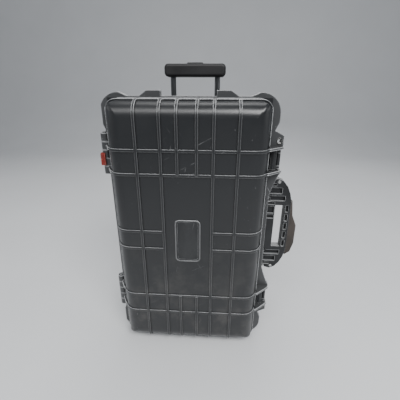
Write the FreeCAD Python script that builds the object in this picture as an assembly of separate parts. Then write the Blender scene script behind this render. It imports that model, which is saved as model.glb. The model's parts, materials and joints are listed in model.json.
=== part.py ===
"""Wheeled hard equipment case standing on its wheel end: lid to the front, hinges on the left,
latches and carry handle on the right, pull-out trolley handle at the back.

The pieces are drawn in the lid's frame, in millimetres: X to the right, Y from the lid panel (Y = 0)
to the back, Z up from the middle of the case's length. The last step moves them all so that the
origin is the middle of the footprint.
"""

import FreeCAD, Part
import os

V = FreeCAD.Vector
X_AXIS, Y_AXIS, Z_AXIS = V(1, 0, 0), V(0, 1, 0), V(0, 0, 1)

# ---- shells --------------------------------------------------------------------------------------
HALF_W = 144.0  # half width of the moulded shells
HALF_L = 260.5  # half length
PARTING_Y = 50.0  # back face of the lid
LIP_GAP = 0.3  # lid to base
BASE_Y = PARTING_Y + LIP_GAP
BACK_Y = 226.0  # back panel of the base
WALL = 4.0
EDGE_R = 27.0  # rounding between a panel and the side walls
CORNER_R = 22.0  # plan rounding of the corners
MITRE_R = 9.0  # softening where the side and end roundings of a panel meet

# ---- ribs ----------------------------------------------------------------------------------------
RIB_W, RIB_CREST_R = 5.6, 0.9
RIB_H, CROSS_H = 3.0, 2.1  # lengthwise ribs stand over the crosswise ones
RIB_X = (17.4, 46.6, 90.0)  # lengthwise ribs, each side of the middle
CROSS_Z = (19.0, 134.0, 178.0)  # crosswise ribs, each side of the middle
RIDGE_Y, RIDGE_W, RIDGE_H, RIDGE_R = 25.0, 3.2, 3.2, 20.0  # bead round the lid where the rounding ends
RIDGE_NOTCH = 0.8  # gap in the bead at each side of a lengthwise rib

# ---- rim -----------------------------------------------------------------------------------------
RIM_HALF_W, RIM_HALF_L, RIM_R, RIM_T = 158.0, 268.0, 40.0, 5.2
BUMPER_OUT, BUMPER_R = 6.6, 36.0  # corner bumpers, proud of the rim
BUMPER_X, BUMPER_Z, BUMPER_SLOPE = 111.0, 208.0, 16.0  # where the bumpers start
EAR_TOP = 277.5  # standing ears at both ends: half the length overall
EAR_X = (50.0, 76.0, 89.0)  # inner end, end of the flat, foot of the slope
SEAL_HALF_W, SEAL_HALF_L, SEAL_R = 146.6, 263.0, 24.0
SEAL_W, SEAL_T, GROOVE_DEPTH = 4.4, 2.6, 3.4

# ---- name plate on the lid -----------------------------------------------------------------------
LABEL_HALF_W, LABEL_HALF_L, LABEL_R = 23.0, 44.0, 7.0
LABEL_BORDER = 2.2

# ---- hinges --------------------------------------------------------------------------------------
HINGE_X, HINGE_Y, HINGE_Z = -162.0, 50.0, 162.0
KNUCKLE_R, KNUCKLE_L, KNUCKLE_PITCH = 8.0, 15.4, 16.0
HINGE_PIN_R = 2.5
BASE_KNUCKLES, LID_KNUCKLES = (-2, 0, 2), (-1, 1)  # places along a hinge, in pitches
MARKER_R, MARKER_ROUND = 13.0, 4.4  # red clip on the upper hinge, and the rounding of its ends

# ---- latches and padlock ears --------------------------------------------------------------------
LATCH_Z, BAY_HALF = 157.0, 20.0  # middle and half width of a latch bay
BAY_X = 151.6  # rim left standing inside a bay
BAY_WALL_T = 4.4
LATCH_PIVOT_X, LATCH_PIVOT_Y = 162.0, 84.0
LEVER_PIVOT_X, LEVER_PIVOT_Y = 168.5, 46.0
LATCH_HALF_W = 18.4
LATCH_PIN_R, LEVER_PIN_R = 2.2, 1.6
PADLOCK_X, PADLOCK_Z, PADLOCK_R = 167.0, 190.5, 4.2
PADLOCK_BOSS_R, PADLOCK_BOSS_T = 7.8, 13.0  # collar behind the base's padlock ear, thickness with the ear
EYELET_WALL, EYELET_FLANGE = 1.2, 2.0

# ---- carry handles -------------------------------------------------------------------------------
SIDE_PIVOT_X, SIDE_PIVOT_Y = 161.0, 88.0
SIDE_T, SIDE_PIN_R = 18.0, 3.0
SIDE_ARM_Z = (66.0, 100.0)  # where an arm meets its pin
SIDE_BAR_OUT = 214.0  # outer face of the frame's outer bar
SIDE_GRIP_OUT = 232.0  # outer face of the rubber grip
TOP_PIVOT_Y, TOP_PIVOT_Z = 84.0, 259.0
TOP_T, TOP_PIN_R = 13.0, 2.5
TOP_ARM_X = (52.0, 70.0)
POCKET_HALF_W, POCKET_Y, POCKET_FLOOR_Z = 84.0, (66.0, 150.0), 250.5  # pocket of the end handle
LUG_T, LUG_GAP = 6.0, 0.4
LADDER_DEPTH = 6.0

# ---- trolley handle ------------------------------------------------------------------------------
TUBE_X, TUBE_Y = 50.0, 202.0
OUTER_R, MIDDLE_R, INNER_R = 9.0, 7.5, 6.1
TUBE_WALL = 1.15
CHANNEL_HALF_W, CHANNEL_Y = 64.0, 188.0
CHANNEL_Z = (-178.0, 228.0)
NEST_HALF_W, NEST_Y = 73.0, 184.0
TROLLEY_OUT = 72.0  # how far the grip stands out of its nest
GRIP_HALF_W, GRIP_T, GRIP_Z0, GRIP_Z1 = 68.0, 30.0, 307.0, 334.0
BUTTON_HALF_W, BUTTON_T, BUTTON_TRAVEL = 17.6, 12.2, 3.0
LINK_Z = 317.0  # underside of the bar under the button
SPRING_Z, SPRING_R, SPRING_WIRE = 309.5, 3.2, 0.4
COVER_Y, COVER_T = 222.0, 4.0  # panel over the tube channel
SCREW_X, SCREW_Z, SCREW_R = 28.0, (-164.0, 24.0, 214.0), 1.7  # its screws

# ---- wheels --------------------------------------------------------------------------------------
WHEEL_R, WHEEL_W, WHEEL_X = 33.0, 24.0, 112.0
WHEEL_Y, WHEEL_Z = 229.0 - WHEEL_R, WHEEL_R - EAR_TOP
HUB_R, BEARING_R, BEARING_W, AXLE_R = 25.0, 11.0, 7.0, 4.0
WELL_X, WELL_Y, WELL_TOP = (96.5, 127.5), 158.0, -206.0

# ---- pressure valve ------------------------------------------------------------------------------
VALVE_Y, VALVE_Z, VALVE_STEM_R = 186.0, 60.0, 7.0

# ---- origin --------------------------------------------------------------------------------------
FRONT_Y, REAR_Y = -RIB_H, WHEEL_Y + WHEEL_R
LEFT_X, RIGHT_X = HINGE_X - MARKER_R, SIDE_GRIP_OUT
ORIGIN = V((LEFT_X + RIGHT_X) / 2, (FRONT_Y + REAR_Y) / 2, -EAR_TOP)


# ---- small helpers -------------------------------------------------------------------------------
def box(x0, x1, y0, y1, z0, z1):
    """Box between two corners."""
    return Part.makeBox(x1 - x0, y1 - y0, z1 - z0, V(x0, y0, z0))


def rod(x, y, z, axis, radius, length):
    """Cylinder from a point along an axis."""
    return Part.makeCylinder(radius, length, V(x, y, z), axis)


def union(shapes):
    """One shape from many, with the seams between coplanar faces removed."""
    if len(shapes) == 1:
        return shapes[0]
    return shapes[0].multiFuse(shapes[1:]).removeSplitter()


def cut_all(shape, cutters):
    for cutter in cutters:
        shape = shape.cut(cutter)
    return shape


def mirror_z(shape):
    return shape.mirror(V(0, 0, 0), Z_AXIS)


def mirror_x(shape):
    return shape.mirror(V(0, 0, 0), X_AXIS)


def both_ends(*shapes):
    """Each shape, and the same at the other end of the case."""
    return [s for shape in shapes for s in (shape, mirror_z(shape))]


def both_sides(*shapes):
    """Each shape, and the same on the other side of the case."""
    return [s for shape in shapes for s in (shape, mirror_x(shape))]


def polygon(corners):
    return Part.Face(Part.makePolygon(corners + corners[:1]))


def plate_xz(outline, y0, y1):
    """Flat plate from an outline of (x, z) points."""
    return polygon([V(x, y0, z) for x, z in outline]).extrude(V(0, y1 - y0, 0))


def plate_xy(outline, z0, z1):
    """Flat plate from an outline of (x, y) points."""
    return polygon([V(x, y, z0) for x, y in outline]).extrude(V(0, 0, z1 - z0))


def soften(shape, radius, pick):
    """Rounds the picked edges, with a smaller radius where the full one doesn't fit."""
    chosen = [e for e in shape.Edges if pick(e.BoundBox)]
    for r in (radius, radius * 0.7, radius * 0.4):
        try:
            rounded = shape.makeFillet(r, chosen)
        except Part.OCCError:
            continue
        if rounded.isValid():
            return rounded
    return shape


def near(a, b):
    return abs(a - b) < 1e-4


def at_y(y):
    """Picks edges lying in the plane at y."""
    return lambda b: near(b.YMin, y) and near(b.YMax, y)


def along(axis_length):
    """Picks edges that run along one axis only: 'XLength', 'YLength' or 'ZLength'."""
    others = [name for name in ("XLength", "YLength", "ZLength") if name != axis_length]
    return lambda b: near(getattr(b, others[0]), 0) and near(getattr(b, others[1]), 0)


def rounded_box(x0, x1, y0, y1, z0, z1, radius):
    """Box with all its edges rounded."""
    return soften(box(x0, x1, y0, y1, z0, z1), radius, lambda b: True)


def rounded_block(half_w, half_l, corner_r, y0, y1):
    """Block centred on the case, with four rounded corners in plan."""
    return soften(box(-half_w, half_w, y0, y1, -half_l, half_l), corner_r, along("YLength"))


def shell_form(grow, y0, y1, panel_y):
    """Block with rounded plan corners, whose panel at panel_y turns into the walls with one large radius.

    The roundings of the sides and of the ends are straight bars, and meet in soft mitres at the corners.
    """
    half_w, half_l = HALF_W + grow, HALF_L + grow
    block = box(-half_w, half_w, y0, y1, -half_l, half_l)
    on_panel = at_y(panel_y)
    ends = soften(block, EDGE_R + grow, lambda b: on_panel(b) and near(b.ZLength, 0))
    sides = soften(block, EDGE_R + grow, lambda b: on_panel(b) and near(b.XLength, 0))
    form = rounded_block(half_w, half_l, CORNER_R + grow, y0, y1).common(ends).common(sides)

    def mitre(b):
        slanting = min(b.XLength, b.YLength, b.ZLength) > 3
        return slanting and (near(b.YMin, panel_y) or near(b.YMax, panel_y))

    return soften(form, MITRE_R, mitre)


def lid_envelope(grow, back=PARTING_Y):
    """Outer form of the lid, grown by grow; a negative grow gives its inside."""
    return shell_form(grow, -grow, back, -grow)


def base_envelope(grow, front=BASE_Y):
    """Outer form of the base, grown by grow."""
    return shell_form(grow, front, BACK_Y + grow, BACK_Y + grow)


# ---- ribs ----------------------------------------------------------------------------------------
def lengthwise_slabs(y0, y1):
    """Slabs along Z, one per rib; the middle pair runs only from the second cross rib outwards."""
    reach = HALF_L + RIB_H + 1
    slabs = []
    for x in RIB_X:
        x0, x1 = x - RIB_W / 2, x + RIB_W / 2
        if x == RIB_X[0]:
            slabs += both_sides(*both_ends(box(x0, x1, y0, y1, CROSS_Z[1], reach)))
        else:
            slabs += both_sides(box(x0, x1, y0, y1, -reach, reach))
    return slabs


def crosswise_slabs(y0, y1):
    """Slabs along X, one per rib; the middle pair runs only from the second lengthwise rib outwards."""
    reach = HALF_W + RIB_H + 1
    slabs = []
    for z in CROSS_Z:
        z0, z1 = z - RIB_W / 2, z + RIB_W / 2
        if z == CROSS_Z[0]:
            slabs += both_ends(*both_sides(box(RIB_X[1], reach, y0, y1, z0, z1)))
        else:
            slabs += both_ends(box(-reach, reach, y0, y1, z0, z1))
    return slabs


def rib(skin, slab):
    """The part of a grown skin inside a slab, with its two long crests rounded."""
    s = slab.BoundBox
    across = "ZLength" if s.XLength > s.ZLength else "XLength"
    parting = (PARTING_Y, BASE_Y)

    def crest(b):
        on_parting = any(near(b.YMin, y) and near(b.YMax, y) for y in parting)
        return near(getattr(b, across), 0) and not on_parting

    return soften(slab.common(skin), RIB_CREST_R, crest)


def ribs(envelope, y0, y1):
    """All ribs of one shell, given the function that makes its form."""
    lengthwise, crosswise = envelope(RIB_H), envelope(CROSS_H)
    made = [rib(lengthwise, slab) for slab in lengthwise_slabs(y0, y1)]
    return made + [rib(crosswise, slab) for slab in crosswise_slabs(y0, y1)]


# ---- rim -----------------------------------------------------------------------------------------
def rim_plate(y0, y1):
    """Flange with corner bumpers, standing ears, padlock ears and the flares beside the latches.

    On the hinge side nothing passes the hinge axis, so that the lid can swing open.
    """
    bumper = rounded_block(RIM_HALF_W + BUMPER_OUT, RIM_HALF_L + BUMPER_OUT, BUMPER_R, y0, y1)
    far = 2 * RIM_HALF_W
    side, end = RIM_HALF_W + BUMPER_OUT, RIM_HALF_L + BUMPER_OUT
    corner = plate_xz(
        [
            (BUMPER_X, BUMPER_Z),
            (BUMPER_X, RIM_HALF_L - 0.5),
            (BUMPER_X + BUMPER_SLOPE, end),
            (BUMPER_X + BUMPER_SLOPE, end + 1),
            (side + 1, end + 1),
            (side + 1, BUMPER_Z + BUMPER_SLOPE),
            (side, BUMPER_Z + BUMPER_SLOPE),
            (RIM_HALF_W - 0.5, BUMPER_Z),
        ],
        y0,
        y1,
    )
    ear = plate_xz(
        [
            (EAR_X[0], HALF_L),
            (EAR_X[0], EAR_TOP),
            (EAR_X[1], EAR_TOP),
            (EAR_X[2], RIM_HALF_L),
            (EAR_X[2], HALF_L),
        ],
        y0,
        y1,
    )
    bay_end, bay_start = LATCH_Z + BAY_HALF, LATCH_Z - BAY_HALF
    padlock_ear = plate_xz(
        [(HALF_W, bay_end), (175, bay_end), (175, 201), (159, 209), (HALF_W, 209)], y0, y1
    )
    slope = [(158, 84), (164, 104), (172, 125), (176, 131)]
    flare = plate_xz([(HALF_W, 84)] + slope + [(176, bay_start), (HALF_W, bay_start)], y0, y1)
    pieces = [rounded_block(RIM_HALF_W, RIM_HALF_L, RIM_R, y0, y1)]
    pieces += [bumper.common(c) for c in both_sides(*both_ends(corner))]
    pieces += both_sides(*both_ends(ear))
    pieces += both_ends(padlock_ear, flare)
    bays = both_ends(box(BAY_X, far, y0 - 1, y1 + 1, bay_start, bay_end))
    past_hinge = box(-far, HINGE_X + 0.4, y0 - 1, y1 + 1, -far, far)
    return cut_all(union(pieces), bays + [past_hinge])


def padlock_holes(radius, y0, y1):
    return both_ends(rod(PADLOCK_X, y0, PADLOCK_Z, Y_AXIS, radius, y1 - y0))


def latch_walls(outline):
    """Four gussets, one each side of each latch bay."""
    starts = (LATCH_Z - BAY_HALF - BAY_WALL_T, LATCH_Z + BAY_HALF)
    return both_ends(*[plate_xy(outline, z, z + BAY_WALL_T) for z in starts])


def hinge_walls(outline):
    """Four gussets, at the ends of both hinges."""
    return both_ends(*[plate_xy(outline, z - BAY_WALL_T / 2, z + BAY_WALL_T / 2) for z in CROSS_Z[1:]])


# ---- hinges --------------------------------------------------------------------------------------
def knuckle_spans(places):
    """(z0, z1) of each knuckle at both hinges."""
    middles = [end * HINGE_Z + place * KNUCKLE_PITCH for end in (-1, 1) for place in places]
    return [(z - KNUCKLE_L / 2, z + KNUCKLE_L / 2) for z in middles]


def knuckles(places, arm_y0, arm_y1):
    """Barrels on the hinge axis, each on an arm that reaches the shell wall."""
    made = []
    for z0, z1 in knuckle_spans(places):
        made.append(rod(HINGE_X, HINGE_Y, z0, Z_AXIS, KNUCKLE_R, z1 - z0))
        made.append(box(HINGE_X, -HALF_W + 1, arm_y0, arm_y1, z0, z1))
    return made


def knuckle_reliefs(places):
    """Round notches for the other shell's knuckles to turn in."""
    spans = knuckle_spans(places)
    return [rod(HINGE_X, HINGE_Y, z0 - 0.3, Z_AXIS, KNUCKLE_R + 0.5, z1 - z0 + 0.6) for z0, z1 in spans]


def hinge_pins(clearance=0.0):
    """Headed pins of both hinges; a clearance gives the bores they sit in."""
    half = 2 * KNUCKLE_PITCH + KNUCKLE_L / 2 + 1
    pin = rod(HINGE_X, HINGE_Y, HINGE_Z - half, Z_AXIS, HINGE_PIN_R + clearance, 2 * half)
    head_r = HINGE_PIN_R + 1.6 + 4 * clearance
    head = rod(HINGE_X, HINGE_Y, HINGE_Z + half - 2 * clearance, Z_AXIS, head_r, 1.6 + 4 * clearance)
    return both_ends(pin.fuse(head).removeSplitter())


def hinge_marker():
    """Red clip round the front of the upper hinge, held on the lid's lower knuckle there."""
    z0, length = HINGE_Z - 21, 23.5
    sleeve = rod(HINGE_X, HINGE_Y, z0, Z_AXIS, MARKER_R, length)
    sleeve = soften(sleeve, MARKER_ROUND, lambda b: b.XLength > MARKER_R)
    sleeve = sleeve.cut(rod(HINGE_X, HINGE_Y, z0, Z_AXIS, KNUCKLE_R + 0.35, length))
    quarter = plate_xy([(HINGE_X, HINGE_Y), (HINGE_X, 0), (-200, 0), (-200, HINGE_Y - 1)], z0, z0 + length)
    lid_knuckle = knuckle_spans(LID_KNUCKLES)[2]
    web = box(HINGE_X - 9, HINGE_X - 1, HINGE_Y - 12, HINGE_Y - 3, z0, lid_knuckle[1] - 1)
    web = web.cut(rod(HINGE_X, HINGE_Y, z0, Z_AXIS, KNUCKLE_R, length))
    return [union([sleeve.common(quarter), web])]


# ---- lid -----------------------------------------------------------------------------------------
def seal_ring(width, y0, y1):
    """Ring along the seal line."""
    out = width / 2
    outer = rounded_block(SEAL_HALF_W + out, SEAL_HALF_L + out, SEAL_R + out, y0, y1)
    return outer.cut(rounded_block(SEAL_HALF_W - out, SEAL_HALF_L - out, SEAL_R - out, y0, y1))


def lid_ridge():
    """Bead round the lid, notched where the lengthwise ribs pass it."""
    bead = rounded_block(HALF_W + RIDGE_H, HALF_L + RIDGE_H, RIDGE_R, RIDGE_Y, RIDGE_Y + RIDGE_W)
    bead = soften(bead, 0.8, lambda b: near(b.YLength, 0))
    half = RIB_W / 2 + RIDGE_NOTCH
    y0, y1 = RIDGE_Y - 1, RIDGE_Y + RIDGE_W + 1
    notches = [box(x - half, x + half, y0, y1, HALF_L, HALF_L + 2 * RIDGE_H) for x in RIB_X]
    return cut_all(bead, both_sides(*both_ends(*notches)))


def lid_shell():
    solid = [lid_envelope(0), lid_ridge()]
    solid += ribs(lid_envelope, -RIB_H, PARTING_Y)
    rim_front = PARTING_Y - RIM_T
    solid.append(soften(rim_plate(rim_front, PARTING_Y), 1.2, at_y(rim_front)))
    solid += latch_walls([(140, 16), (148, 16), (169, 34), (175, 40), (175, PARTING_Y), (140, PARTING_Y)])
    solid += hinge_walls([(-140, 18), (-147, 18), (-157, 36), (-157, PARTING_Y), (-140, PARTING_Y)])
    frame = LABEL_BORDER
    border = rounded_block(LABEL_HALF_W + frame, LABEL_HALF_L + frame, LABEL_R + frame, -1.8, WALL)
    solid.append(soften(border, 0.9, at_y(-1.8)))
    solid += knuckles(LID_KNUCKLES, HINGE_Y - KNUCKLE_R, PARTING_Y)
    shell = union(solid)
    cuts = [lid_envelope(-WALL, back=PARTING_Y + 1)]
    cuts.append(seal_ring(SEAL_W + 0.6, PARTING_Y - GROOVE_DEPTH, PARTING_Y + 1))
    cuts.append(rounded_block(LABEL_HALF_W, LABEL_HALF_L, LABEL_R, -3, 1.0))
    cuts += padlock_holes(PADLOCK_R + EYELET_WALL, rim_front - 1, PARTING_Y + 1)
    cuts += knuckle_reliefs(BASE_KNUCKLES) + hinge_pins(0.1)
    return [cut_all(shell, cuts)]


def lid_seal():
    floor = PARTING_Y - GROOVE_DEPTH
    ring = seal_ring(SEAL_W, floor, floor + SEAL_T)
    return [soften(ring, 1.2, at_y(floor + SEAL_T))]


def label_plate():
    plate = rounded_block(LABEL_HALF_W, LABEL_HALF_L, LABEL_R, -0.3, 1.0)
    return [plate.cut(rounded_block(LABEL_HALF_W - 3, LABEL_HALF_L - 3, LABEL_R - 3, -1, 0.3))]


def padlock_eyelets():
    """Steel sleeves pressed into the lid's padlock ears."""
    face = PARTING_Y - RIM_T
    sleeve = rod(PADLOCK_X, face, PADLOCK_Z, Y_AXIS, PADLOCK_R + EYELET_WALL, RIM_T)
    flange = rod(PADLOCK_X, face - 1, PADLOCK_Z, Y_AXIS, PADLOCK_R + EYELET_FLANGE, 1)
    eyelet = soften(union([sleeve, flange]), 0.5, at_y(face - 1))
    return both_ends(cut_all(eyelet, padlock_holes(PADLOCK_R, face - 2, PARTING_Y + 1)[:1]))


# ---- base ----------------------------------------------------------------------------------------
def recesses(grow):
    """Hollows in the outside of the base, grown by grow: tube channel, grip nest and end-handle pocket."""
    out = BACK_Y + 10
    far = HALF_L + 10
    channel, nest = CHANNEL_HALF_W + grow, NEST_HALF_W + grow
    pocket = POCKET_HALF_W + grow
    return [
        box(-channel, channel, CHANNEL_Y - grow, out, CHANNEL_Z[0] - grow, CHANNEL_Z[1] + 1),
        box(-nest, nest, NEST_Y - grow, out, CHANNEL_Z[1] - grow, far),
        box(-pocket, pocket, POCKET_Y[0] - grow, POCKET_Y[1] + grow, POCKET_FLOOR_Z - grow, far),
    ]


def wheel_wells():
    well = box(WELL_X[0], WELL_X[1], WELL_Y, BACK_Y + 10, -HALF_L - 10, WELL_TOP)
    return both_sides(well)


def wheel_blocks():
    """Corners of the base that are closed off inside by the wheel housings."""
    block = box(WELL_X[0] - WALL, HALF_W + 10, WELL_Y - WALL, BACK_Y + 10, -HALF_L - 10, WELL_TOP + WALL)
    return both_sides(block)


def screw_places():
    return [(side * SCREW_X, z) for side in (-1, 1) for z in SCREW_Z]


def lug_spans(arm):
    """Where the two lugs beside a handle's arm start and end along its pin."""
    near_lug = (arm[0] - LUG_GAP - LUG_T, arm[0] - LUG_GAP)
    far_lug = (arm[1] + LUG_GAP, arm[1] + LUG_GAP + LUG_T)
    return near_lug, far_lug


def side_handle_lugs():
    """Lugs on the side wall, two at each arm of the side carry handle."""
    half = 8.0
    lugs = []
    for z0, z1 in lug_spans(SIDE_ARM_Z):
        foot = box(HALF_W - 2, SIDE_PIVOT_X, SIDE_PIVOT_Y - half, SIDE_PIVOT_Y + half, z0, z1)
        lugs.append(foot.fuse(rod(SIDE_PIVOT_X, SIDE_PIVOT_Y, z0, Z_AXIS, half, z1 - z0)).removeSplitter())
    return both_ends(*lugs)


def top_handle_lugs():
    """Lugs on the floor of the end pocket, two at each arm of the end carry handle."""
    half = 6.0
    lugs = []
    for x0, x1 in lug_spans(TOP_ARM_X):
        foot = box(x0, x1, TOP_PIVOT_Y - half, TOP_PIVOT_Y + half, 249.5, TOP_PIVOT_Z)
        lugs.append(foot.fuse(rod(x0, TOP_PIVOT_Y, TOP_PIVOT_Z, X_AXIS, half, x1 - x0)).removeSplitter())
    return both_sides(*lugs)


def base_shell():
    solid = [base_envelope(0)] + ribs(base_envelope, BASE_Y, BACK_Y + RIB_H)
    shell = union(solid).cut(box(HALF_W, HALF_W + 10, 66, 166, -112, 112))
    rim = soften(rim_plate(BASE_Y, BASE_Y + RIM_T), 1.2, at_y(BASE_Y + RIM_T))
    walls = latch_walls([(140, BASE_Y), (175, BASE_Y), (175, 62), (169, 92), (158, 100), (140, 108)])
    walls += hinge_walls([(-140, BASE_Y), (-157, BASE_Y), (-157, 66), (-147, 96), (-140, 100)])
    bosses = both_ends(rod(PADLOCK_X, BASE_Y, PADLOCK_Z, Y_AXIS, PADLOCK_BOSS_R, PADLOCK_BOSS_T))
    shell = union([shell, rim] + walls + bosses)
    inside = base_envelope(-WALL, front=BASE_Y - 1)
    shell = shell.cut(cut_all(inside, recesses(WALL) + wheel_blocks()))
    cuts = recesses(0) + wheel_wells() + knuckle_reliefs(LID_KNUCKLES)
    cuts += padlock_holes(PADLOCK_R, BASE_Y - 1, BASE_Y + PADLOCK_BOSS_T + 1)
    shell = cut_all(shell, cuts)
    posts = [rod(x, CHANNEL_Y - 1, z, Y_AXIS, 5, COVER_Y - CHANNEL_Y + 1) for x, z in screw_places()]
    tongue = seal_ring(2.6, BASE_Y - 0.9, BASE_Y + 1)
    additions = knuckles(BASE_KNUCKLES, BASE_Y, HINGE_Y + KNUCKLE_R) + side_handle_lugs() + top_handle_lugs()
    shell = union([shell, tongue] + posts + additions)
    bores = hinge_pins(0.1) + latch_pins() + side_handle_pins() + top_handle_pins() + wheel_axles()
    bores += [rod(x, CHANNEL_Y + 4, z, Y_AXIS, SCREW_R, 60) for x, z in screw_places()]
    bores.append(rod(HALF_W - 10, VALVE_Y, VALVE_Z, X_AXIS, VALVE_STEM_R, 20))
    return [cut_all(shell, bores)]


def valve_body():
    """Pressure valve: round flange outside, stem through the wall, nut inside."""
    stem = rod(HALF_W - WALL - 6, VALVE_Y, VALVE_Z, X_AXIS, VALVE_STEM_R, 10)
    flange = rod(HALF_W, VALVE_Y, VALVE_Z, X_AXIS, 13, 3)
    nut = rod(HALF_W - WALL - 5, VALVE_Y, VALVE_Z, X_AXIS, 11, 5)
    face = HALF_W + 3
    body = soften(union([stem, flange, nut]), 1, lambda b: near(b.XMin, face) and near(b.XMax, face))
    return [body.cut(rod(HALF_W + 1, VALVE_Y, VALVE_Z, X_AXIS, 8, 10))]


def valve_vent():
    """Slotted vent disc in the valve's flange."""
    disc = rod(HALF_W + 1, VALVE_Y, VALVE_Z, X_AXIS, 8, 2.6)
    slots = []
    for z in (VALVE_Z - 4, VALVE_Z, VALVE_Z + 4):
        slots.append(box(HALF_W + 2.4, HALF_W + 5, VALVE_Y - 5, VALVE_Y + 5, z - 0.8, z + 0.8))
    return [cut_all(disc, slots)]


# ---- latches -------------------------------------------------------------------------------------
def latch_pins():
    """Pins of both latches, held in the walls beside the bays."""
    half = BAY_HALF + BAY_WALL_T
    return both_ends(rod(LATCH_PIVOT_X, LATCH_PIVOT_Y, LATCH_Z - half, Z_AXIS, LATCH_PIN_R, 2 * half))


def latch_hook():
    """Hook of the upper latch: hub at the back, cheeks along the bay, nose beside the lid's rim."""
    z0, z1 = LATCH_Z - LATCH_HALF_W, LATCH_Z + LATCH_HALF_W
    outline = [
        (158.5, 84), (158.5, 50), (152.2, 45), (152.2, 36.5), (157, 34.5), (162, 36), (164.4, 41), (164.4, 84)
    ]
    body = union([plate_xy(outline, z0, z1), rod(LATCH_PIVOT_X, LATCH_PIVOT_Y, z0, Z_AXIS, 5.2, z1 - z0)])
    ear_z = LATCH_HALF_W - 6.5
    for side in (-1, 1):
        middle = LATCH_Z + side * (ear_z + 3)
        body = body.fuse(rod(LEVER_PIVOT_X, LEVER_PIVOT_Y, middle - 2.5, Z_AXIS, 3.2, 5))
        y0, y1 = LEVER_PIVOT_Y - 3.2, LEVER_PIVOT_Y + 3.2
        body = body.fuse(box(162, LEVER_PIVOT_X, y0, y1, middle - 2.5, middle + 2.5))
    body = body.removeSplitter()
    body = body.cut(rod(LATCH_PIVOT_X, LATCH_PIVOT_Y, z0 - 1, Z_AXIS, LATCH_PIN_R + 0.1, z1 - z0 + 2))
    return body.cut(lever_pin())


def lever_pin():
    """Pin of the upper latch's lever."""
    half = LATCH_HALF_W - 0.6
    return rod(LEVER_PIVOT_X, LEVER_PIVOT_Y, LATCH_Z - half, Z_AXIS, LEVER_PIN_R, 2 * half)


def latch_lever():
    """Lever of the upper latch: a shield over the hook, with a curled end for the fingers."""
    z0, z1 = LATCH_Z - LATCH_HALF_W, LATCH_Z + LATCH_HALF_W
    outline = [
        (168.8, LEVER_PIVOT_Y), (171.9, LEVER_PIVOT_Y), (172.8, 50), (172.8, 84), (173.5, 92), (174.8, 96),
        (171.5, 97.5), (169.3, 91), (168.8, 84)
    ]
    lever = plate_xy(outline, z0, z1)
    lever = lever.fuse(rod(LEVER_PIVOT_X, LEVER_PIVOT_Y, z0, Z_AXIS, 3.4, z1 - z0)).removeSplitter()
    for side in (-1, 1):
        middle = LATCH_Z + side * (LATCH_HALF_W - 3.5)
        lever = lever.cut(box(160, 172, LEVER_PIVOT_Y - 6, LEVER_PIVOT_Y + 6, middle - 2.9, middle + 2.9))
    return lever.cut(rod(LEVER_PIVOT_X, LEVER_PIVOT_Y, z0 - 1, Z_AXIS, LEVER_PIN_R + 0.1, z1 - z0 + 2))


# ---- side carry handle ---------------------------------------------------------------------------
def ladder_pockets(y0, y1):
    """Pockets in the front and back faces of the side handle, which leave it a ladder of thin ribs."""
    spans = [(166, 180, 93, 98), (166, 192, 76, 89), (166, 200, 60, 71)]
    pockets = [s for x0, x1, z0, z1 in spans for s in both_ends(box(x0, x1, 0, 1, z0, z1))]
    pockets += [box(164, 179, 0, 1, z0, z1) for z0, z1 in ((51, 57), (31, 47), (19, 27))]
    pockets += [box(203, 209, 0, 1, z - 8, z + 8) for z in (-42, -21, 0, 21, 42)]
    cutters = []
    for pocket in pockets:
        b = pocket.BoundBox
        for face, depth in ((y0 - 0.5, LADDER_DEPTH + 0.5), (y1 - LADDER_DEPTH, LADDER_DEPTH + 0.5)):
            cutters.append(box(b.XMin, b.XMax, face, face + depth, b.ZMin, b.ZMax))
    return cutters


def side_handle_frame():
    """D-shaped handle swung straight out: two arms, an inner bar by the wall, an outer bar under the grip."""
    y0, y1 = SIDE_PIVOT_Y - SIDE_T / 2, SIDE_PIVOT_Y + SIDE_T / 2
    shoulder = [(170, 54), (170, 106), (182, 109), (193, 104), (203, 92), (210, 76)]
    arm = shoulder + [(SIDE_BAR_OUT, 58), (204, 58), (200, 50), (181, 50)]
    outer = [(200, -60), (SIDE_BAR_OUT, -60), (SIDE_BAR_OUT, 60), (200, 60)]
    inner = box(159, 181, y0, y1, -58.5, 58.5)
    frame = union(both_ends(plate_xz(arm, y0, y1)) + [plate_xz(outer, y0, y1), inner])
    frame = soften(frame, 1.2, lambda b: at_y(y0)(b) or at_y(y1)(b))
    hub = rod(SIDE_PIVOT_X, SIDE_PIVOT_Y, SIDE_ARM_Z[0], Z_AXIS, 8, SIDE_ARM_Z[1] - SIDE_ARM_Z[0])
    neck = box(SIDE_PIVOT_X, 172, SIDE_PIVOT_Y - 8, SIDE_PIVOT_Y + 8, SIDE_ARM_Z[0], SIDE_ARM_Z[1])
    frame = union([frame] + both_ends(hub, neck))
    return [cut_all(frame, ladder_pockets(y0, y1) + side_handle_pins(0.1) + side_handle_rivets())]


def side_handle_rivets():
    """Steel plugs in the front of the side handle's arms."""
    front = SIDE_PIVOT_Y - SIDE_T / 2
    plug = rod(184, front - 1, 102, Y_AXIS, 3.2, 7)
    return both_ends(soften(plug, 1, at_y(front - 1)))


def side_handle_pins(clearance=0.0):
    """Steel pins of the side handle; a clearance gives the bores they turn in."""
    z0, z1 = SIDE_ARM_Z[0] - LUG_GAP - LUG_T, SIDE_ARM_Z[1] + LUG_GAP + LUG_T
    return both_ends(rod(SIDE_PIVOT_X, SIDE_PIVOT_Y, z0, Z_AXIS, SIDE_PIN_R + clearance, z1 - z0 + 1.2))


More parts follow.
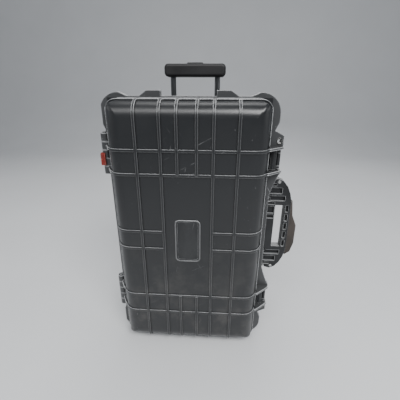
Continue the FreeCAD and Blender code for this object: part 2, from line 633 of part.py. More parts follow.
def side_handle_grip():
    """Rubber moulded over the outer bar, thin at the top and bulging outwards below the middle."""
    y0, y1 = SIDE_PIVOT_Y - 6, SIDE_PIVOT_Y + 14
    top = [(206, 58), (218, 58), (222, 24), (SIDE_GRIP_OUT, 0)]
    bottom = [(SIDE_GRIP_OUT, -44), (226, -66), (216, -74), (206, -74)]
    grip = plate_xz(top + bottom, y0, y1)
    grip = soften(grip, 5, lambda b: (at_y(y0)(b) or at_y(y1)(b)) and b.XMax > 207)
    bar = box(200, SIDE_BAR_OUT, SIDE_PIVOT_Y - SIDE_T / 2, SIDE_PIVOT_Y + SIDE_T / 2, -80, 80)
    return [grip.cut(bar)]


# ---- end carry handle ----------------------------------------------------------------------------
def top_handle_frame():
    """U-shaped handle lying in its pocket."""
    z0, z1 = TOP_PIVOT_Z - TOP_T / 2, TOP_PIVOT_Z + TOP_T / 2
    arm = box(TOP_ARM_X[0], TOP_ARM_X[1], 93, 134, z0, z1)
    arm = soften(arm, 3, along("ZLength"))
    arm = arm.cut(box(TOP_ARM_X[0] + 4, TOP_ARM_X[1] - 4, 97, 110, z1 - 4, z1 + 1))
    arm = arm.cut(box(TOP_ARM_X[0] + 4, TOP_ARM_X[1] - 4, 114, 127, z1 - 4, z1 + 1))
    bar = box(-TOP_ARM_X[0] - 3, TOP_ARM_X[0] + 3, 122, 131, z0 + 2, z1 - 2)
    hub = rod(TOP_ARM_X[0], TOP_PIVOT_Y, TOP_PIVOT_Z, X_AXIS, TOP_T / 2 - 0.5, TOP_ARM_X[1] - TOP_ARM_X[0])
    neck = box(TOP_ARM_X[0], TOP_ARM_X[1], TOP_PIVOT_Y, 95, z0 + 0.5, z1 - 0.5)
    frame = union(both_sides(arm, hub, neck) + [bar])
    return [cut_all(frame, top_handle_pins(0.1))]


def top_handle_pins(clearance=0.0):
    """Steel pins of the end handle; a clearance gives the bores they turn in."""
    ends = (TOP_ARM_X[0] - LUG_GAP - LUG_T, TOP_ARM_X[1] + LUG_GAP + LUG_T)
    pin = rod(ends[0], TOP_PIVOT_Y, TOP_PIVOT_Z, X_AXIS, TOP_PIN_R + clearance, ends[1] - ends[0])
    return both_sides(pin)


def top_handle_grip():
    half = TOP_ARM_X[0] - 3
    grip = rounded_box(-half, half, 118, 136, TOP_PIVOT_Z - 7.5, TOP_PIVOT_Z + 7.5, 5.5)
    return [grip.cut(top_handle_frame()[0])]


# ---- trolley handle ------------------------------------------------------------------------------


def pipes(radius, z0, z1):
    """The pair of tubes of one trolley stage."""
    pipe = rod(TUBE_X, TUBE_Y, z0, Z_AXIS, radius, z1 - z0)
    return both_sides(pipe.cut(rod(TUBE_X, TUBE_Y, z0, Z_AXIS, radius - TUBE_WALL, z1 - z0)))


def trolley_outer_tubes():
    return pipes(OUTER_R, CHANNEL_Z[0] + 4, CHANNEL_Z[1])


def trolley_middle_tubes():
    rise = TROLLEY_OUT / 2
    return pipes(MIDDLE_R, CHANNEL_Z[0] + 6 + rise, CHANNEL_Z[1] + rise)


def trolley_inner_tubes():
    return pipes(INNER_R, CHANNEL_Z[0] + 8 + TROLLEY_OUT, GRIP_Z0 + 6)


def tube_holder(z0, z1):
    """Bar across the channel with a seat for each outer tube."""
    bar = box(-CHANNEL_HALF_W + 0.3, CHANNEL_HALF_W - 0.3, CHANNEL_Y, COVER_Y - 0.2, z0, z1)
    seats = both_sides(rod(TUBE_X, TUBE_Y, CHANNEL_Z[0] + 4, Z_AXIS, OUTER_R, CHANNEL_Z[1] - CHANNEL_Z[0]))
    posts = [rod(x, CHANNEL_Y - 1, z, Y_AXIS, 5.3, 40) for x, z in screw_places()]
    return [cut_all(bar, seats + posts)]


def tube_foot():
    return tube_holder(CHANNEL_Z[0], CHANNEL_Z[0] + 24)


def tube_collar():
    return tube_holder(CHANNEL_Z[1] - 24, CHANNEL_Z[1])


def channel_cover():
    """Plate over the tube channel, with two raised ribs and countersunk screw holes."""
    half = CHANNEL_HALF_W - 0.3
    plate = box(-half, half, COVER_Y, COVER_Y + COVER_T, CHANNEL_Z[0] + 0.3, CHANNEL_Z[1])
    ribs = both_sides(box(40, 43, COVER_Y + 3, COVER_Y + 5.4, CHANNEL_Z[0] + 18, CHANNEL_Z[1] - 18))
    cover = union([plate] + ribs)
    return [cut_all(cover, [s for x, z in screw_places() for s in screw_shape(x, z, 0.0)])]


def screw_shape(x, z, grow):
    """Shank and countersunk head of one cover screw."""
    back = COVER_Y + COVER_T
    shank = rod(x, CHANNEL_Y + 16, z, Y_AXIS, SCREW_R + grow, back - CHANNEL_Y - 16)
    head = Part.makeCone(SCREW_R, 3.6, 2.4, V(x, back - 2.4, z), Y_AXIS)
    return [shank, head]


def cover_screws():
    """Cover screws with a cross slot."""
    made = []
    back = COVER_Y + COVER_T
    for x, z in screw_places():
        screw = union(screw_shape(x, z, 0.0))
        slots = [
            box(x - 2.2, x + 2.2, back - 1.2, back + 1, z - 0.4, z + 0.4),
            box(x - 0.4, x + 0.4, back - 1.2, back + 1, z - 2.2, z + 2.2),
        ]
        made.append(cut_all(screw, slots))
    return made


def trolley_grip():
    """Grip on the inner tubes, hollowed for the release link, its spring and the button."""
    y0, y1 = TUBE_Y - GRIP_T / 2, TUBE_Y + GRIP_T / 2
    grip = box(-GRIP_HALF_W, GRIP_HALF_W, y0, y1, GRIP_Z0, GRIP_Z1)
    grip = soften(grip, 9, along("YLength"))
    grip = soften(grip, 6, lambda b: near(b.YLength, 0))
    well_x, well_y = BUTTON_HALF_W + 0.4, BUTTON_T / 2 + 0.4
    hollow = [
        box(-57, 57, TUBE_Y - 4, TUBE_Y + 4, LINK_Z - 4, LINK_Z + 3.5),
        box(-well_x, well_x, TUBE_Y - well_y, TUBE_Y + well_y, LINK_Z - 0.5, GRIP_Z1 + 1),
        rod(0, TUBE_Y, SPRING_Z, Z_AXIS, SPRING_R + 0.9, LINK_Z - SPRING_Z),
    ]
    sockets = both_sides(rod(TUBE_X, TUBE_Y, GRIP_Z0 - 1, Z_AXIS, INNER_R, LINK_Z - 3 - GRIP_Z0))
    return [cut_all(grip, hollow + sockets)]


def release_button():
    """Button in the top of the grip."""
    half_t = BUTTON_T / 2
    top = GRIP_Z1 + BUTTON_TRAVEL
    button = box(-BUTTON_HALF_W, BUTTON_HALF_W, TUBE_Y - half_t, TUBE_Y + half_t, LINK_Z + 3, top)
    button = soften(button, 3, along("ZLength"))
    return [soften(button, 1.2, lambda b: near(b.ZMin, top) and near(b.ZMax, top))]


def release_link():
    """Bar under the button with a rod down each inner tube."""
    bar = box(-54, 54, TUBE_Y - 3, TUBE_Y + 3, LINK_Z, LINK_Z + 3)
    foot = CHANNEL_Z[0] + 20 + TROLLEY_OUT
    rods = both_sides(rod(TUBE_X, TUBE_Y, foot, Z_AXIS, 2, LINK_Z - foot))
    return [union([bar] + rods)]


def button_spring():
    """Compression spring between the grip and the release link."""
    height = LINK_Z - SPRING_Z - 2 * SPRING_WIRE
    helix = Part.makeHelix(1.7, height, SPRING_R)
    start = V(SPRING_R, 0, 0)
    section = Part.Wire(Part.makeCircle(SPRING_WIRE, start, Y_AXIS))
    coil = Part.Wire(helix).makePipeShell([section], True, True)
    coil.translate(V(0, TUBE_Y, SPRING_Z + SPRING_WIRE))
    return [coil]


# ---- wheels --------------------------------------------------------------------------------------
def wheel_axles():
    """Axles held in the walls of the wheel housings."""
    x0, x1 = WELL_X[0] - WALL + 1, WELL_X[1] + 6
    return both_sides(rod(x0, WHEEL_Y, WHEEL_Z, X_AXIS, AXLE_R, x1 - x0))


def turned(profile):
    """Solid of revolution about the right-hand axle, from (x, radius) points."""
    corners = [V(x, WHEEL_Y, WHEEL_Z + r) for x, r in profile]
    return polygon(corners).revolve(V(0, WHEEL_Y, WHEEL_Z), X_AXIS, 360)


def hoop(x0, x1, inner, outer):
    """Plain ring about the right-hand axle."""
    return turned([(x0, inner), (x1, inner), (x1, outer), (x0, outer)])


def tyre():
    x0, x1 = WHEEL_X - WHEEL_W / 2, WHEEL_X + WHEEL_W / 2
    ring = hoop(x0, x1, HUB_R, WHEEL_R)
    ring = soften(ring, 4, lambda b: b.ZLength > 2 * WHEEL_R - 1)
    groove = hoop(WHEEL_X - 2, WHEEL_X + 2, WHEEL_R - 1.6, WHEEL_R + 1)
    return ring.cut(groove)


def hub():
    """Wheel hub: rim, dished web with lightening holes, and a boss with a bearing seat each side."""
    x0, x1 = WHEEL_X - WHEEL_W / 2 + 0.5, WHEEL_X + WHEEL_W / 2 - 0.5
    rim = hoop(x0, x1, HUB_R - 3, HUB_R)
    web = hoop(WHEEL_X - 2, WHEEL_X + 2, AXLE_R + 1, HUB_R - 2)
    boss = hoop(x0, x1, BEARING_R, BEARING_R + 2.5)
    made = union([rim, web, boss])
    for turn in range(5):
        hole = rod(WHEEL_X - 5, WHEEL_Y, WHEEL_Z + 17.8, X_AXIS, 3.2, 10)
        hole.rotate(V(0, WHEEL_Y, WHEEL_Z), X_AXIS, turn * 72)
        made = made.cut(hole)
    return made


def bearings():
    made = []
    for x0 in (WHEEL_X - WHEEL_W / 2 + 2, WHEEL_X + WHEEL_W / 2 - 2 - BEARING_W):
        x1 = x0 + BEARING_W
        made.append(hoop(x0, x1, AXLE_R + 0.06, BEARING_R))
    return made


# ---- output --------------------------------------------------------------------------------------
NODES = {
    "lid_shell": lid_shell,
    "lid_seal": lid_seal,
    "label_plate": label_plate,
    "padlock_eyelets": padlock_eyelets,
    "hinge_marker": hinge_marker,
    "hinge_pins": hinge_pins,
    "base_shell": base_shell,
    "valve_body": valve_body,
    "valve_vent": valve_vent,
    "latch_pins": latch_pins,
    "latch_hook_upper": lambda: [latch_hook()],
    "latch_hook_lower": lambda: [mirror_z(latch_hook())],
    "latch_lever_upper": lambda: [latch_lever()],
    "latch_lever_lower": lambda: [mirror_z(latch_lever())],
    "lever_pin_upper": lambda: [lever_pin()],
    "lever_pin_lower": lambda: [mirror_z(lever_pin())],
    "side_handle_frame": side_handle_frame,
    "side_handle_grip": side_handle_grip,
    "side_handle_rivets": side_handle_rivets,
    "side_handle_pins": side_handle_pins,
    "top_handle_frame": top_handle_frame,
    "top_handle_grip": top_handle_grip,
    "top_handle_pins": top_handle_pins,
    "channel_cover": channel_cover,
    "cover_screws": cover_screws,
    "tube_foot": tube_foot,
    "tube_collar": tube_collar,
    "trolley_outer_tubes": trolley_outer_tubes,
    "trolley_middle_tubes": trolley_middle_tubes,
    "trolley_inner_tubes": trolley_inner_tubes,
    "trolley_grip": trolley_grip,
    "release_button": release_button,
    "release_link": release_link,
    "button_spring": button_spring,
    "wheel_axles": wheel_axles,
    "tyre_right": lambda: [tyre()],
    "tyre_left": lambda: [mirror_x(tyre())],
    "hub_right": lambda: [hub()],
    "hub_left": lambda: [mirror_x(hub())],
    "bearings_right": bearings,
    "bearings_left": lambda: [mirror_x(b) for b in bearings()],
}


def main():
    os.makedirs("parts", exist_ok=True)
    for name, make in NODES.items():
        solids = [solid for shape in make() for solid in shape.Solids]
        shape = solids[0] if len(solids) == 1 else Part.makeCompound(solids)
        shape.translate(-ORIGIN)
        shape.exportStep(f"parts/{name}.step")
        print(f"{name}: {len(solids)} solids, valid {shape.isValid()}, {shape.Volume / 1000:.1f} cm3")


main()
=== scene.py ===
"""Look of the wheeled hard equipment case: procedural materials, floor, studio light and camera."""

import json
import math

import bpy
from mathutils import Matrix, Vector


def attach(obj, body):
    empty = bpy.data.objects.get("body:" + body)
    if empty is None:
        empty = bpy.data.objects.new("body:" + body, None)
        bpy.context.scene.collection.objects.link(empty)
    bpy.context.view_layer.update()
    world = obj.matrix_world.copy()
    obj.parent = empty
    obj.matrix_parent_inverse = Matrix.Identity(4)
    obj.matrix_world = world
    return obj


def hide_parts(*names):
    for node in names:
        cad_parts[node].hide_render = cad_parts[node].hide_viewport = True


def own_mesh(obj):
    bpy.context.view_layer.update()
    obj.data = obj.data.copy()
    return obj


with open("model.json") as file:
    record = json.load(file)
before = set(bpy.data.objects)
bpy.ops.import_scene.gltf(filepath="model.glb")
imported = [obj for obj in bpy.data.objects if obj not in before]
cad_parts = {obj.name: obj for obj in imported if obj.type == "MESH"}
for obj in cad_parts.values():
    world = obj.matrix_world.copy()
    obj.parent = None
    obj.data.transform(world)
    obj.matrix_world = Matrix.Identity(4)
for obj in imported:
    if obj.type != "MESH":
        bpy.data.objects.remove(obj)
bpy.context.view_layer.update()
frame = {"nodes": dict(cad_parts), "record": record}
nodes = frame["nodes"]

MM = 0.001
MIDDLE_X, MIDDLE_Z = -28.5 * MM, 277.5 * MM  # middle of the shells
HALF_WIDTH, HALF_LENGTH = 144.0 * MM, 260.5 * MM  # middle to the side and end walls

# ---- camera --------------------------------------------------------------------------------------
CAMERA_PLACE = Vector((0.0229, -0.5781, 0.5463))
CAMERA_RIGHT = Vector((0.9981, 0.0609, 0.0039))
CAMERA_DOWN = Vector((0.0257, -0.3605, -0.9324))
FOCAL_LENGTH = 24.3  # mm, on a 36 mm sensor

# ---- colours (linear) ----------------------------------------------------------------------------
CHARCOAL = (0.0070, 0.0078, 0.0090)
CHARCOAL_PALE = (0.023, 0.024, 0.0255)
# pale colour of real scuffs and wear, also used for painted highlights on up-facing and proud surfaces
SCUFF_AND_HIGHLIGHT = (0.60, 0.61, 0.62)
DUST = (0.17, 0.16, 0.145)
NYLON = (0.007, 0.0075, 0.0085)
NYLON_PALE = (0.022, 0.023, 0.025)


# ---- node helpers --------------------------------------------------------------------------------
class Graph:
    """A material's node tree, with short calls for the nodes used here."""

    def __init__(self, name):
        self.material = bpy.data.materials.new(name)
        self.material.use_nodes = True
        self.tree = self.material.node_tree
        self.tree.nodes.clear()
        self.shader = self.tree.nodes.new("ShaderNodeBsdfPrincipled")
        output = self.tree.nodes.new("ShaderNodeOutputMaterial")
        self.link(self.shader.outputs[0], output.inputs[0])
        coordinates = self.tree.nodes.new("ShaderNodeTexCoord")
        self.place = coordinates.outputs["Object"]
        self.facing = coordinates.outputs["Normal"]

    def link(self, source, target):
        self.tree.links.new(source, target)

    def feed(self, socket, value):
        if isinstance(value, bpy.types.NodeSocket):
            self.link(value, socket)
        elif isinstance(value, tuple) and len(value) == 3 and socket.type == "RGBA":
            socket.default_value = (*value, 1.0)
        else:
            socket.default_value = value

    def noise(self, scale, detail=4.0, roughness=0.55, stretch=(1, 1, 1), seed=0.0, tilt=0.0):
        """Noise over the object, drawn out along X, Y and Z by stretch and then tilted about Y."""
        mapping = self.tree.nodes.new("ShaderNodeMapping")
        mapping.vector_type = "TEXTURE"
        mapping.inputs["Scale"].default_value = stretch
        mapping.inputs["Rotation"].default_value = (0.0, tilt, 0.0)
        mapping.inputs["Location"].default_value = (seed, 2.3 * seed, -1.7 * seed)
        self.link(self.place, mapping.inputs["Vector"])
        node = self.tree.nodes.new("ShaderNodeTexNoise")
        node.inputs["Scale"].default_value = scale
        node.inputs["Detail"].default_value = detail
        node.inputs["Roughness"].default_value = roughness
        self.link(mapping.outputs[0], node.inputs["Vector"])
        return node.outputs["Fac"]

    def cells(self, scale):
        """Distance to the nearest of scattered points: a pebbled grain."""
        node = self.tree.nodes.new("ShaderNodeTexVoronoi")
        node.inputs["Scale"].default_value = scale
        self.link(self.place, node.inputs["Vector"])
        return node.outputs["Distance"]

    def math(self, operation, a, b=0.0, clamp=False):
        node = self.tree.nodes.new("ShaderNodeMath")
        node.operation = operation
        node.use_clamp = clamp
        self.feed(node.inputs[0], a)
        self.feed(node.inputs[1], b)
        return node.outputs[0]

    def ramp(self, value, low, high, out_low=0.0, out_high=1.0):
        """Smooth step of a value from low..high to out_low..out_high."""
        node = self.tree.nodes.new("ShaderNodeMapRange")
        node.interpolation_type = "SMOOTHSTEP"
        self.link(value, node.inputs["Value"])
        node.inputs["From Min"].default_value = low
        node.inputs["From Max"].default_value = high
        node.inputs["To Min"].default_value = out_low
        node.inputs["To Max"].default_value = out_high
        return node.outputs[0]

    def mix(self, factor, a, b):
        node = self.tree.nodes.new("ShaderNodeMix")
        node.data_type = "RGBA"
        self.feed(node.inputs["Factor"], factor)
        self.feed(node.inputs["A"], a)
        self.feed(node.inputs["B"], b)
        return node.outputs["Result"]

    def shade(self, colour, factor):
        """Colour times a grey factor."""
        node = self.tree.nodes.new("ShaderNodeMix")
        node.data_type = "RGBA"
        node.blend_type = "MULTIPLY"
        node.inputs["Factor"].default_value = 1.0
        self.feed(node.inputs["A"], colour)
        self.feed(node.inputs["B"], factor)
        return node.outputs["Result"]

    def height(self):
        """Height over the floor, with every joint at rest."""
        node = self.tree.nodes.new("ShaderNodeSeparateXYZ")
        self.link(self.place, node.inputs[0])
        return node.outputs["Z"]

    def upward(self, low, high, out_low, out_high):
        """Rises from out_low on upright surfaces to out_high on ledges that face up at rest."""
        node = self.tree.nodes.new("ShaderNodeSeparateXYZ")
        self.link(self.facing, node.inputs[0])
        return self.ramp(node.outputs["Z"], low, high, out_low, out_high)

    def outside(self):
        """How far a point stands outside the shells' side and end walls."""
        node = self.tree.nodes.new("ShaderNodeSeparateXYZ")
        self.link(self.place, node.inputs[0])
        across = self.math("ABSOLUTE", self.math("SUBTRACT", node.outputs["X"], MIDDLE_X))
        along = self.math("ABSOLUTE", self.math("SUBTRACT", node.outputs["Z"], MIDDLE_Z))
        beside = self.math("SUBTRACT", across, HALF_WIDTH)
        beyond = self.math("SUBTRACT", along, HALF_LENGTH)
        return self.math("MAXIMUM", beside, beyond)

    def edges(self, distance, low=0.10, high=0.36):
        """1 along outward edges, falling to 0 at the distance from them: looks for surfaces close behind."""
        node = self.tree.nodes.new("ShaderNodeAmbientOcclusion")
        node.samples = 8
        node.inside = True
        node.inputs["Distance"].default_value = distance
        return self.ramp(self.math("SUBTRACT", 1.0, node.outputs["AO"]), low, high)

    def openness(self, distance):
        """1 where the surface is open to the air, 0 deep in a corner."""
        node = self.tree.nodes.new("ShaderNodeAmbientOcclusion")
        node.samples = 6
        node.inputs["Distance"].default_value = distance
        return node.outputs["AO"]

    def bump(self, layers):
        """Stacks (height, strength, distance) layers into one normal."""
        normal = None
        for height, strength, distance in layers:
            node = self.tree.nodes.new("ShaderNodeBump")
            node.inputs["Strength"].default_value = strength
            node.inputs["Distance"].default_value = distance
            self.link(height, node.inputs["Height"])
            if normal is not None:
                self.link(normal, node.inputs["Normal"])
            normal = node.outputs[0]
        self.link(normal, self.shader.inputs["Normal"])

    def set(self, **values):
        for name, value in values.items():
            self.feed(self.shader.inputs[name.replace("_", " ")], value)


# ---- materials -----------------------------------------------------------------------------------
def scratches(g, scale, threshold, seed):
    """Thin streaks in three slanting directions, in a few patches."""
    patches = g.ramp(g.noise(8.0, 3.0, 0.5, (1, 1, 1), seed), 0.50, 0.66)
    streaks = None
    for number, tilt in enumerate((0.25, 1.1, -0.6)):
        lines = g.noise(scale, 2.0, 0.5, (1.0, 1.0, 28.0), seed + number * 7.1, tilt)
        line = g.ramp(lines, threshold, threshold + 0.05)
        streaks = line if streaks is None else g.math("MAXIMUM", streaks, line)
    return g.math("MULTIPLY", streaks, patches)


def painted_corner_shade(g, distance, strength):
    """Painted shade: factor that darkens the feet of ribs and other tight corners."""
    return g.ramp(g.openness(distance), 0.35, 0.92, 1.0 - strength, 1.0)


def shell_plastic():
    """Textured charcoal polypropylene: rubbed pale on crests and edges, with painted highlight on up-facing
    and proud edges and painted shade in corners; paler towards the floor from a painted reflection of the
    floor plus a little dust.
    """
    g = Graph("shell_plastic")
    broad = g.noise(7.0, 5.0, 0.6, (1, 1, 1), 1.0)
    fine = g.noise(160.0, 4.0, 0.6)
    # paler towards the floor: most of this tone is a painted reflection of the pale floor; the dust layer
    # below also gathers low down
    low_down = g.ramp(g.height(), 0.02, 0.34, 1.0, 0.0)
    tone = g.math("ADD", g.math("MULTIPLY", broad, 0.35), g.math("MULTIPLY", low_down, 0.65), clamp=True)
    colour = g.mix(tone, CHARCOAL, CHARCOAL_PALE)
    dusty = g.math("MULTIPLY", g.ramp(g.noise(24.0, 6.0, 0.65, (1, 1, 1), 4.0), 0.42, 0.72), low_down)
    colour = g.mix(g.math("MULTIPLY", dusty, 0.22), colour, DUST)
    # painted shade: the shell is darkened in tight corners and at the feet of ribs
    colour = g.shade(colour, painted_corner_shade(g, 5 * MM, 0.65))
    outside = g.outside()
    # painted highlight: the rim and bumpers standing well outside the walls are lightened a little
    colour = g.mix(g.ramp(outside, 3.8 * MM, 5.0 * MM, 0.0, 0.05), colour, SCUFF_AND_HIGHLIGHT)
    edge = g.math("MULTIPLY", g.edges(2.2 * MM, 0.12, 0.34), g.ramp(g.openness(8 * MM), 0.45, 0.75))
    rubbed = g.ramp(g.noise(60.0, 5.0, 0.7, (1, 1, 1), 9.0), 0.22, 0.55, 0.6, 1.0)
    past_bead = g.ramp(outside, 3.6 * MM, 5.0 * MM, 0.9, 0.5)
    proud = g.math("MULTIPLY", g.ramp(outside, 0.6 * MM, 1.6 * MM), past_bead)
    # pale edges: real edge wear, weighted up on up-facing ledges and the proud bead as painted highlight
    lit_or_proud = g.math("MAXIMUM", g.upward(0.1, 0.7, 0.20, 1.0), proud)
    pale_edges = g.math("MULTIPLY", g.math("MULTIPLY", edge, rubbed), lit_or_proud)
    colour = g.mix(pale_edges, colour, SCUFF_AND_HIGHLIGHT)
    marks = scratches(g, 480.0, 0.72, 3.0)
    specks = g.ramp(g.noise(210.0, 3.0, 0.6, (1, 1, 1), 6.0), 0.68, 0.76)
    speck_zone = g.ramp(g.noise(14.0, 3.0, 0.5, (1, 1, 1), 12.0), 0.48, 0.66)
    marks = g.math("MAXIMUM", marks, g.math("MULTIPLY", specks, speck_zone))
    colour = g.mix(g.math("MULTIPLY", marks, 0.28), colour, SCUFF_AND_HIGHLIGHT)
    grain = g.cells(900.0)
    rough = g.math("ADD", g.ramp(broad, 0.3, 0.7, 0.25, 0.33), g.math("MULTIPLY", fine, 0.08))
    rough = g.math("ADD", rough, g.math("MULTIPLY", g.math("MAXIMUM", pale_edges, marks), 0.12), clamp=True)
    g.set(Base_Color=colour, Roughness=rough, Specular_IOR_Level=0.48)
    g.bump([(broad, 0.12, 1.2 * MM), (grain, 0.16, 0.10 * MM), (marks, 0.25, 0.12 * MM)])
    return g.material


def nylon_plastic():
    """Black glass-filled nylon of latches, handles and trolley parts, with pale rubbed edges and painted
    highlight on up-facing faces and edges.
    """
    g = Graph("nylon_plastic")
    broad = g.noise(14.0, 5.0, 0.6, (1, 1, 1), 2.0)
    colour = g.mix(g.ramp(broad, 0.3, 0.7), NYLON, NYLON_PALE)
    edge = g.math("MULTIPLY", g.edges(1.4 * MM), g.ramp(g.openness(5 * MM), 0.40, 0.85))
    rubbed = g.ramp(g.noise(75.0, 4.0, 0.7, (1, 1, 1), 5.0), 0.25, 0.62)
    pale_edges = g.math("MULTIPLY", edge, g.math("ADD", 0.3, g.math("MULTIPLY", rubbed, 0.7)))
    # painted highlight: the pale edges are stronger where they face up
    pale_edges = g.math("MULTIPLY", pale_edges, g.upward(0.1, 0.7, 0.5, 0.95))
    # painted highlight: up-facing faces are lightened towards the pale scuff colour
    colour = g.mix(g.upward(0.6, 0.95, 0.0, 0.3), colour, SCUFF_AND_HIGHLIGHT)
    colour = g.mix(pale_edges, colour, SCUFF_AND_HIGHLIGHT)
    marks = scratches(g, 400.0, 0.70, 8.0)
    colour = g.mix(g.math("MULTIPLY", marks, 0.4), colour, SCUFF_AND_HIGHLIGHT)
    fine = g.noise(260.0, 3.0, 0.6)
    rough = g.math("ADD", g.ramp(broad, 0.3, 0.7, 0.38, 0.50), g.math("MULTIPLY", pale_edges, 0.15), clamp=True)
    g.set(Base_Color=colour, Roughness=rough, Specular_IOR_Level=0.38)
    g.bump([(fine, 0.20, 0.12 * MM), (marks, 0.2, 0.1 * MM)])
    return g.material


def rubber(name, dark, pale, grain_scale, roughness):
    """Matt rubber with a fine pebbled grain, paler where hands or the floor polish it."""
    g = Graph(name)
    broad = g.noise(18.0, 5.0, 0.6, (1, 1, 1), 3.0)
    edge = g.edges(1.6 * MM)
    colour = g.mix(g.ramp(broad, 0.3, 0.72), dark, pale)
    lint = g.ramp(g.noise(300.0, 2.0, 0.6, (1, 1, 1), 8.0), 0.68, 0.76)
    colour = g.mix(g.math("MULTIPLY", g.math("MAXIMUM", edge, lint), 0.25), colour, DUST)
    grain = g.cells(grain_scale)
    rough = g.ramp(broad, 0.3, 0.7, roughness, roughness + 0.14)
    g.set(Base_Color=colour, Roughness=rough, Specular_IOR_Level=0.35)
    g.bump([(grain, 0.35, 0.18 * MM), (broad, 0.1, 0.6 * MM)])
    return g.material


def red_plastic():
    """Red moulded clip, faded and scuffed on its edges."""
    g = Graph("red_plastic")
    broad = g.noise(70.0, 4.0, 0.6)
    colour = g.mix(g.ramp(broad, 0.3, 0.7), (0.15, 0.009, 0.005), (0.23, 0.020, 0.010))
    pale_edges = g.math("MULTIPLY", g.edges(1.0 * MM), g.ramp(g.noise(180.0, 3.0, 0.6), 0.35, 0.6))
    colour = g.mix(g.math("MULTIPLY", pale_edges, 0.5), colour, (0.62, 0.30, 0.24))
    g.set(Base_Color=colour, Roughness=g.ramp(broad, 0.3, 0.7, 0.34, 0.5))
    g.bump([(g.noise(700.0, 2.0), 0.15, 0.08 * MM)])
    return g.material


def label_plastic():
    """Blank name plate: finer grain than the shell, a little lighter, faintly smeared."""
    g = Graph("label_plastic")
    broad = g.noise(26.0, 5.0, 0.65, (1, 1, 2), 5.0)
    colour = g.mix(g.ramp(broad, 0.3, 0.7), CHARCOAL, CHARCOAL_PALE)
    edge = g.math("MULTIPLY", g.edges(0.7 * MM), g.ramp(g.noise(120.0, 3.0, 0.6), 0.3, 0.6))
    colour = g.mix(g.math("MULTIPLY", edge, 0.5), colour, SCUFF_AND_HIGHLIGHT)
    colour = g.mix(g.math("MULTIPLY", scratches(g, 360.0, 0.68, 1.0), 0.3), colour, SCUFF_AND_HIGHLIGHT)
    g.set(Base_Color=colour, Roughness=g.ramp(broad, 0.3, 0.7, 0.40, 0.54))
    g.bump([(g.cells(1300.0), 0.12, 0.06 * MM)])
    return g.material


def steel(name, bright):
    """Steel with fine turning marks and a little grime."""
    g = Graph(name)
    g.set(Metallic=1.0)
    grime = g.ramp(g.noise(45.0, 5.0, 0.6), 0.45, 0.75)
    colour = g.mix(g.math("MULTIPLY", grime, 0.45), bright, (0.14, 0.13, 0.12))
    lines = g.noise(900.0, 2.0, 0.5, (12.0, 1.0, 1.0))
    rough = g.math("ADD", g.ramp(grime, 0.0, 1.0, 0.20, 0.42), g.math("MULTIPLY", lines, 0.12))
    g.set(Base_Color=colour, Roughness=rough)
    g.bump([(lines, 0.10, 0.05 * MM)])
    return g.material


def tube_metal():
    """Dark anodised tube, drawn lengthwise, rubbed bright in streaks where the stages slide."""
    g = Graph("tube_metal")
    g.set(Metallic=1.0)
    streaks = g.noise(420.0, 3.0, 0.6, (1.0, 1.0, 50.0))
    rubbed = g.math("MULTIPLY", g.ramp(streaks, 0.55, 0.72), g.ramp(g.noise(20.0, 3.0), 0.4, 0.65))
    colour = g.mix(g.math("MULTIPLY", rubbed, 0.7), (0.075, 0.078, 0.082), (0.55, 0.55, 0.56))
    rough = g.math("ADD", 0.26, g.math("MULTIPLY", streaks, 0.20))
    g.set(Base_Color=colour, Roughness=rough)
    g.bump([(streaks, 0.08, 0.05 * MM)])
    return g.material


def wheel_plastic():
    """Dark grey nylon hub with road dust in its corners."""
    g = Graph("wheel_plastic")
    broad = g.noise(30.0, 5.0, 0.6)
    colour = g.mix(g.ramp(broad, 0.3, 0.7), (0.045, 0.046, 0.048), (0.085, 0.085, 0.085))
    corner = g.ramp(g.openness(8 * MM), 0.35, 0.85, 0.5, 0.0)
    colour = g.mix(corner, colour, DUST)
    edge = g.math("MULTIPLY", g.edges(1.1 * MM), 0.35)
    colour = g.mix(edge, colour, SCUFF_AND_HIGHLIGHT)
    g.set(Base_Color=colour, Roughness=g.ramp(broad, 0.3, 0.7, 0.42, 0.58))
    g.bump([(g.noise(500.0, 3.0), 0.18, 0.10 * MM)])
    return g.material


def assign_materials():
    """Gives each CAD piece the material of its record slot."""
    by_slot = {
        "shell": shell_plastic(),
        "hardware_plastic": nylon_plastic(),
        "grip_rubber": rubber("grip_rubber", (0.030, 0.025, 0.022), (0.062, 0.052, 0.045), 700.0, 0.55),
        "seal_rubber": rubber("seal_rubber", (0.010, 0.010, 0.010), (0.022, 0.022, 0.022), 1200.0, 0.50),
        "tyre": rubber("tyre_rubber", (0.016, 0.016, 0.016), (0.060, 0.057, 0.052), 500.0, 0.60),
        "wheel_plastic": wheel_plastic(),
        "label": label_plastic(),
        "marker_red": red_plastic(),
        "steel": steel("steel", (0.46, 0.46, 0.45)),
        "tube_metal": tube_metal(),
    }
    by_node = {
        "padlock_eyelets": steel("tarnished_steel", (0.13, 0.13, 0.125)),
        "trolley_grip": rubber("trolley_rubber", (0.0045, 0.0045, 0.005), (0.010, 0.010, 0.011), 900.0, 0.42),
    }
    for part in frame["record"]["subparts"]:
        mesh = nodes[part["node"]].data
        mesh.materials.clear()
        mesh.materials.append(by_node.get(part["node"], by_slot[part["material_slot"]]))


# ---- release spring ------------------------------------------------------------------------------
def add_release_spring():
    """Coil under the release button: a copy of the CAD coil, carried by the trolley body."""
    coil = bpy.data.objects.new("release_spring", nodes["button_spring"].data.copy())
    bpy.context.scene.collection.objects.link(coil)
    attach(coil, "trolley")
    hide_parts("button_spring")
    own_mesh(coil)


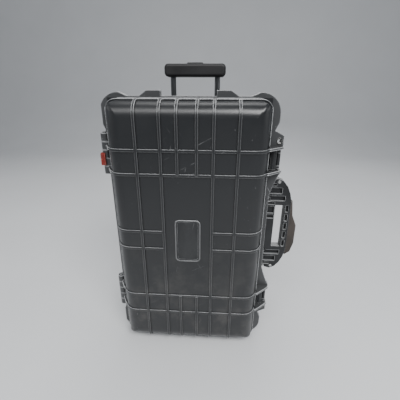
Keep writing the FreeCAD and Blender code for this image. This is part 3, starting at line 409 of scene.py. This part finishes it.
# ---- stage ---------------------------------------------------------------------------------------
def add_floor():
    """Pale seamless floor that curves up into a backdrop well behind the case."""
    half, depth, rise, radius = 6.0, 3.2, 4.0, 1.2
    profile = [(-6.0, 0.0), (depth - radius, 0.0)]
    for step in range(1, 13):
        angle = step / 12 * math.pi / 2
        profile.append((depth - radius + radius * math.sin(angle), radius - radius * math.cos(angle)))
    profile.append((depth, rise))
    verts = [(x, y, z) for y, z in profile for x in (-half, half)]
    faces = [(2 * i, 2 * i + 1, 2 * i + 3, 2 * i + 2) for i in range(len(profile) - 1)]
    mesh = bpy.data.meshes.new("floor")
    mesh.from_pydata(verts, [], faces)
    for polygon in mesh.polygons:
        polygon.use_smooth = True
    floor = bpy.data.objects.new("floor", mesh)
    bpy.context.scene.collection.objects.link(floor)
    g = Graph("floor_paper")
    tone = g.noise(3.0, 3.0)
    g.set(Base_Color=g.mix(tone, (0.60, 0.61, 0.62), (0.66, 0.67, 0.68)), Roughness=0.8)
    mesh.materials.append(g.material)


def add_area_light(name, place, target, size, power, colour=(1, 1, 1)):
    light = bpy.data.lights.new(name, "AREA")
    light.shape = "RECTANGLE"
    light.size, light.size_y = size
    light.energy = power
    light.color = colour
    lamp = bpy.data.objects.new(name, light)
    lamp.location = place
    lamp.rotation_euler = (Vector(target) - Vector(place)).to_track_quat("-Z", "Y").to_euler()
    bpy.context.scene.collection.objects.link(lamp)


def light_stage():
    """Broad key light in front and above, strong to the right and weaker to the left, and fills."""
    centre = (0.0, -0.05, 0.45)
    add_area_light("key", (0.62, -1.38, 1.86), centre, (1.1, 0.8), 50)
    add_area_light("key_left", (-0.50, -1.38, 1.86), centre, (1.0, 0.7), 16)
    add_area_light("overhead", (-0.1, 0.5, 2.3), centre, (1.2, 0.8), 12)
    add_area_light("left_fill", (-2.2, -0.4, 1.2), centre, (1.4, 1.4), 7)
    add_area_light("right_fill", (2.2, -0.2, 1.0), centre, (1.2, 1.2), 6)
    add_area_light("back", (0.2, 2.2, 1.5), centre, (1.6, 1.0), 16)
    world = bpy.data.worlds.new("studio")
    world.use_nodes = True
    background = world.node_tree.nodes["Background"]
    background.inputs["Color"].default_value = (0.80, 0.84, 0.90, 1.0)
    background.inputs["Strength"].default_value = 0.35
    bpy.context.scene.world = world


def add_camera():
    data = bpy.data.cameras.new("camera")
    data.sensor_width = 36.0
    data.lens = FOCAL_LENGTH
    data.clip_start = 0.01
    camera = bpy.data.objects.new("camera", data)
    right = CAMERA_RIGHT.normalized()
    down = (CAMERA_DOWN - right * CAMERA_DOWN.dot(right)).normalized()
    forward = right.cross(down)
    columns = (right, -down, -forward)
    turn = Matrix([[column[row] for column in columns] for row in range(3)])
    camera.matrix_world = Matrix.Translation(CAMERA_PLACE) @ turn.to_4x4()
    bpy.context.scene.collection.objects.link(camera)
    bpy.context.scene.camera = camera


assign_materials()
add_release_spring()
add_floor()
light_stage()
add_camera()
